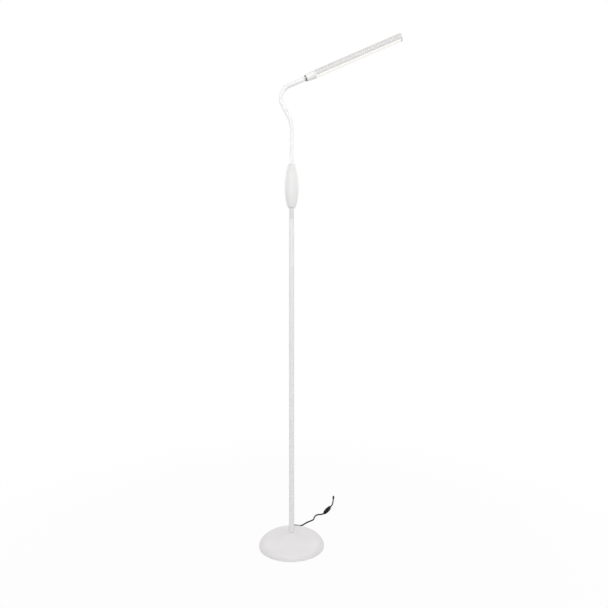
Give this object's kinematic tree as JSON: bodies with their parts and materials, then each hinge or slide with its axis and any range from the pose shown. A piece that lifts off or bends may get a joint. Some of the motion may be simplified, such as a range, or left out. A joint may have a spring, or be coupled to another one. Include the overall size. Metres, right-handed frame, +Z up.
{
  "type": "gooseneck floor lamp",
  "caption": "Floor lamp with a domed round base, a slim straight pole, a spindle-shaped grip and a bent gooseneck that carries a slim round light bar; a short black lead with a switch.",
  "frame": {"origin": "centre of the base pad's underside, on the floor", "axes": "+Z up along the pole, +X towards the side the head reaches over, +Y to the rear, where the lead leaves the base"},
  "size_m": [0.4452, 0.4941, 1.5909],
  "materials": {
    "white_paint": "satin",
    "white_plastic": "satin",
    "diffuser": "milky, satin outside",
    "black_plastic": "glossy",
    "black_lead": "soft black jacket",
    "black_pad": "matt foam pad",
    "cast_iron": "raw casting",
    "steel": "zinc plated",
    "spring_steel": "dark spring steel",
    "chrome": "polished",
    "dark_chrome": "dark, polished",
    "brass": "turned",
    "aluminium": "bare strip",
    "board_white": "white solder mask",
    "led_yellow": "silicone over the chip",
    "board_green": "green board",
    "driver_black": "moulded components",
    "wire_grey": "wire jacket",
    "grip_core_plastic": "plain moulding"
  },
  "bodies": {
    "stand": {"base_cover": "white_paint", "base_weight": "cast_iron", "base_plate": "steel", "base_pad": "black_pad", "plate_screws": "steel", "threaded_nipple": "steel", "nipple_nut": "steel", "nipple_washer": "steel", "cord_gland": "black_lead", "pole_foot_plug": "steel", "pole_lower_tube": "white_paint", "pole_joiner": "steel", "pole_upper_tube": "white_paint", "pole_top_coupler": "white_paint", "inner_wire": "wire_grey", "grip_core": "grip_core_plastic", "grip_front_shell": "white_plastic", "grip_rear_shell": "white_plastic", "grip_screws": "steel", "grip_top_collar": "white_plastic", "grip_bottom_collar": "white_plastic", "lead_to_switch": "black_lead", "switch_lower_shell": "black_plastic", "switch_upper_shell": "black_plastic", "push_switch": "driver_black", "switch_screws": "steel", "lead_to_connector": "black_lead", "connector_body": "black_plastic", "connector_barrel": "chrome"},
    "neck_root": {"neck_spigot": "brass", "spigot_clip": "spring_steel", "neck_link_01": "white_paint"},
    "neck_02": {"neck_link_02": "white_paint"},
    "neck_03": {"neck_link_03": "white_paint"},
    "neck_04": {"neck_link_04": "white_paint"},
    "neck_05": {"neck_link_05": "white_paint"},
    "neck_06": {"neck_link_06": "white_paint"},
    "neck_07": {"neck_link_07": "white_paint"},
    "neck_08": {"neck_link_08": "white_paint"},
    "neck_09": {"neck_link_09": "white_paint"},
    "neck_10": {"neck_link_10": "white_paint"},
    "neck_11": {"neck_link_11": "white_paint"},
    "neck_12": {"neck_link_12": "white_paint", "swivel_ring": "dark_chrome", "swivel_pin": "brass", "swivel_clip": "spring_steel"},
    "head": {"head_joint": "white_plastic", "joint_nut": "brass", "head_rear_cap": "white_plastic", "head_housing": "white_plastic", "head_diffuser": "diffuser", "board_carrier": "aluminium", "led_board": "board_white", "led_chips": "led_yellow", "driver_board": "board_green", "driver_parts": "driver_black", "head_wire": "wire_grey", "head_front_cap": "white_plastic", "cap_screws": "steel"},
    "button": {"switch_button": "black_plastic"}
  },
  "joints": [
    {"name": "neck_turn", "type": "hinge", "parent": "stand", "child": "neck_root", "pos_m": [0, 0, 1.1848], "axis": [0, 0, 1], "range_deg": [-170, 170]},
    {"name": "neck_bend_lower", "type": "hinge", "parent": "neck_root", "child": "neck_02", "pos_m": [0, 0, 1.2088], "axis": [0, 1, 0], "range_deg": [-14, 14]},
    {"name": "neck_bend_lower_2", "type": "hinge", "parent": "neck_02", "child": "neck_03", "pos_m": [0, 0, 1.2508], "axis": [0, 1, 0], "range_deg": [-14, 14]},
    {"name": "neck_bend_lower_3", "type": "hinge", "parent": "neck_03", "child": "neck_04", "pos_m": [0, 0, 1.2928], "axis": [0, 1, 0], "range_deg": [-14, 14]},
    {"name": "neck_bend_lower_4", "type": "hinge", "parent": "neck_04", "child": "neck_05", "pos_m": [-0.00912, 0, 1.33332], "axis": [0, 1, 0], "range_deg": [-14, 14]},
    {"name": "neck_bend_upper", "type": "hinge", "parent": "neck_05", "child": "neck_06", "pos_m": [-0.02205, 0, 1.35816], "axis": [0, 1, 0], "range_deg": [-13, 8]},
    {"name": "neck_bend_upper_2", "type": "hinge", "parent": "neck_06", "child": "neck_07", "pos_m": [-0.03059, 0, 1.37512], "axis": [0, 1, 0], "range_deg": [-13, 8]},
    {"name": "neck_bend_upper_3", "type": "hinge", "parent": "neck_07", "child": "neck_08", "pos_m": [-0.03332, 0, 1.39377], "axis": [0, 1, 0], "range_deg": [-13, 8]},
    {"name": "neck_bend_upper_4", "type": "hinge", "parent": "neck_08", "child": "neck_09", "pos_m": [-0.02773, 0, 1.41176], "axis": [0, 1, 0], "range_deg": [-13, 8]},
    {"name": "neck_bend_upper_5", "type": "hinge", "parent": "neck_09", "child": "neck_10", "pos_m": [-0.0149, 0, 1.42556], "axis": [0, 1, 0], "range_deg": [-13, 8]},
    {"name": "neck_bend_upper_6", "type": "hinge", "parent": "neck_10", "child": "neck_11", "pos_m": [0.00218, 0, 1.4338], "axis": [0, 1, 0], "range_deg": [-13, 8]},
    {"name": "neck_bend_upper_7", "type": "hinge", "parent": "neck_11", "child": "neck_12", "pos_m": [0.01962, 0, 1.44134], "axis": [0, 1, 0], "range_deg": [-13, 8]},
    {"name": "head_swivel", "type": "hinge", "parent": "neck_12", "child": "head", "pos_m": [0.0437, 0, 1.45176], "axis": [0.9178, 0, 0.3971], "range_deg": [-150, 150]},
    {"name": "button_press", "type": "slide", "parent": "stand", "child": "button", "axis": [0, 0, 1], "range_m": [-0.0012, 0], "stiffness_N_per_m": 300}
  ],
  "couplings": [
    {"joint": "neck_bend_lower_2", "follows": "neck_bend_lower", "ratio": 1},
    {"joint": "neck_bend_lower_3", "follows": "neck_bend_lower", "ratio": 1},
    {"joint": "neck_bend_lower_4", "follows": "neck_bend_lower", "ratio": 1},
    {"joint": "neck_bend_upper_2", "follows": "neck_bend_upper", "ratio": 1},
    {"joint": "neck_bend_upper_3", "follows": "neck_bend_upper", "ratio": 1},
    {"joint": "neck_bend_upper_4", "follows": "neck_bend_upper", "ratio": 1},
    {"joint": "neck_bend_upper_5", "follows": "neck_bend_upper", "ratio": 1},
    {"joint": "neck_bend_upper_6", "follows": "neck_bend_upper", "ratio": 1},
    {"joint": "neck_bend_upper_7", "follows": "neck_bend_upper", "ratio": 1}
  ]
}
